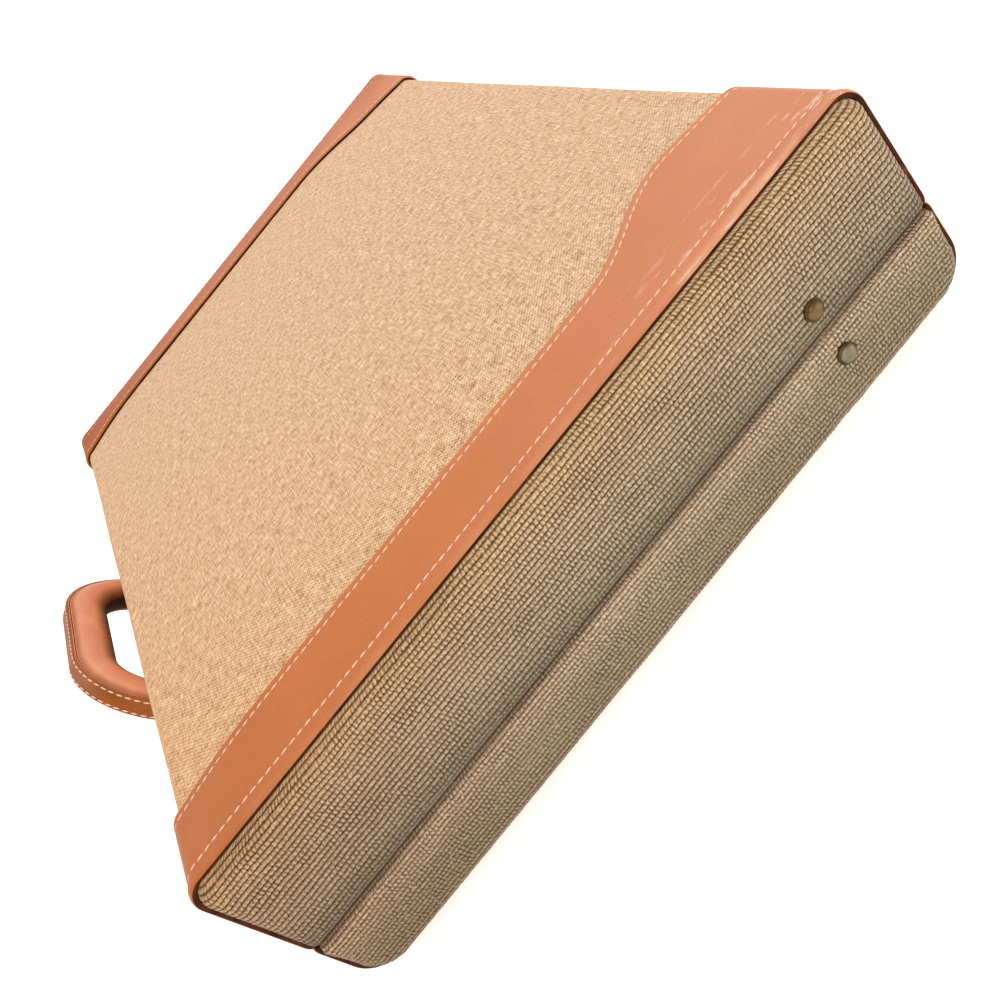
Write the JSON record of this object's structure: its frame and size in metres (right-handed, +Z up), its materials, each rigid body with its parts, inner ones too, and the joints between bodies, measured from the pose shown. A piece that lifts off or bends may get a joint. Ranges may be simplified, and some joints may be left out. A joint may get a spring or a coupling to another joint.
{
  "type": "briefcase",
  "caption": "Hard-sided briefcase with hinged halves, folding stays, hasp locks, a padded swinging handle and leather bands at both ends.",
  "frame": {"origin": "middle of the case's footprint, on the crowned canvas of the shallow half that the case lies on", "axes": "+X along the case to the right seen from the handle side, +Y from the handle wall to the hinge wall, +Z up through the deep half"},
  "size_m": [0.4602, 0.3662, 0.0975],
  "materials": {
    "plywood": "sanded plywood",
    "padding": "firm felt padding",
    "canvas": "woven tan linen canvas",
    "ribbed_fabric": "coarse ribbed weave",
    "leather": "smooth cognac leather, semi-matt",
    "lining": "fine lining cloth",
    "brass": "dull plated brass",
    "steel": "nickel-plated steel"
  },
  "bodies": {
    "lid": {"lid_shell": "plywood", "lid_padding": "padding", "lid_canvas": "canvas", "lid_leather_right": "leather", "lid_leather_left": "leather", "lid_lining": "lining", "lid_end_panel_right": "ribbed_fabric", "lid_end_panel_left": "ribbed_fabric", "rim_tongue": "steel", "document_pocket": "lining", "hinge_leaf_lid_right": "steel", "hinge_leaf_lid_left": "steel", "hinge_pin_right": "steel", "hinge_pin_left": "steel", "hinge_rivets_lid": "steel", "stay_rivets_lid": "brass", "catch_plate_right": "brass", "catch_plate_left": "brass", "hasp_pin_right": "brass", "hasp_pin_left": "brass", "catch_rivets": "brass", "glides_lid": "brass"},
    "base": {"base_shell": "plywood", "base_padding": "padding", "base_canvas": "canvas", "base_leather_right": "leather", "base_leather_left": "leather", "base_lining": "lining", "base_end_panel_right": "ribbed_fabric", "base_end_panel_left": "ribbed_fabric", "hinge_leaf_base_right": "steel", "hinge_leaf_base_left": "steel", "hinge_rivets_base": "steel", "stay_rivets_base": "brass", "lock_case_right": "brass", "lock_case_left": "brass", "handle_bracket_right": "steel", "handle_bracket_left": "steel", "handle_pins": "steel", "handle_rivets": "steel", "glides_base": "brass"},
    "handle": {"handle_grip": "leather", "handle_core": "steel"},
    "stay_lower_right": {"stay_lower_right": "steel", "stay_knuckle_right": "steel"},
    "stay_upper_right": {"stay_upper_right": "steel"},
    "hasp_right": {"hasp_right": "brass"},
    "lock_button_right": {"lock_button_right": "brass"},
    "key_plug_right": {"key_plug_right": "brass"},
    "stay_lower_left": {"stay_lower_left": "steel", "stay_knuckle_left": "steel"},
    "stay_upper_left": {"stay_upper_left": "steel"},
    "hasp_left": {"hasp_left": "brass"},
    "lock_button_left": {"lock_button_left": "brass"},
    "key_plug_left": {"key_plug_left": "brass"}
  },
  "joints": [
    {"name": "case_hinge", "type": "hinge", "parent": "lid", "child": "base", "pos_m": [0, 0.1632, 0.038], "axis": [-1, 0, 0], "range_deg": [0, 95]},
    {"name": "handle_hinge", "type": "hinge", "parent": "base", "child": "handle", "pos_m": [0, -0.1733, 0.0495], "axis": [-1, 0, 0], "range_deg": [-140, 15]},
    {"name": "stay_lower_right_hinge", "type": "hinge", "parent": "lid", "child": "stay_lower_right", "pos_m": [0.21665, 0.1072, 0.0265], "axis": [-1, 0, 0], "range_deg": [0, 95]},
    {"name": "stay_upper_right_hinge", "type": "hinge", "parent": "base", "child": "stay_upper_right", "pos_m": [0.21485, 0.1072, 0.0495], "axis": [-1, 0, 0], "range_deg": [-95, 0]},
    {"name": "hasp_right_hinge", "type": "hinge", "parent": "lid", "child": "hasp_right", "pos_m": [0.15, -0.16497, 0.0255], "axis": [1, 0, 0], "range_deg": [0, 100]},
    {"name": "lock_button_right_slide", "type": "slide", "parent": "base", "child": "lock_button_right", "axis": [1, 0, 0], "range_m": [0, 0.005], "stiffness_N_per_m": 60, "springref_m": -0.003},
    {"name": "key_plug_right_turn", "type": "hinge", "parent": "base", "child": "key_plug_right", "pos_m": [0.1345, -0.166, 0.0555], "axis": [0, -1, 0], "range_deg": [0, 90]},
    {"name": "stay_lower_left_hinge", "type": "hinge", "parent": "lid", "child": "stay_lower_left", "pos_m": [-0.21665, 0.1072, 0.0265], "axis": [-1, 0, 0], "range_deg": [0, 95]},
    {"name": "stay_upper_left_hinge", "type": "hinge", "parent": "base", "child": "stay_upper_left", "pos_m": [-0.21485, 0.1072, 0.0495], "axis": [-1, 0, 0], "range_deg": [-95, 0]},
    {"name": "hasp_left_hinge", "type": "hinge", "parent": "lid", "child": "hasp_left", "pos_m": [-0.15, -0.16497, 0.0255], "axis": [1, 0, 0], "range_deg": [0, 100]},
    {"name": "lock_button_left_slide", "type": "slide", "parent": "base", "child": "lock_button_left", "axis": [-1, 0, 0], "range_m": [0, 0.005], "stiffness_N_per_m": 60, "springref_m": -0.003},
    {"name": "key_plug_left_turn", "type": "hinge", "parent": "base", "child": "key_plug_left", "pos_m": [-0.1345, -0.166, 0.0555], "axis": [0, -1, 0], "range_deg": [0, 90]}
  ],
  "couplings": [
    {"joint": "stay_lower_right_hinge", "follows": "case_hinge", "ratio": 1},
    {"joint": "stay_upper_right_hinge", "follows": "case_hinge", "ratio": -1},
    {"joint": "stay_lower_left_hinge", "follows": "case_hinge", "ratio": 1},
    {"joint": "stay_upper_left_hinge", "follows": "case_hinge", "ratio": -1}
  ]
}
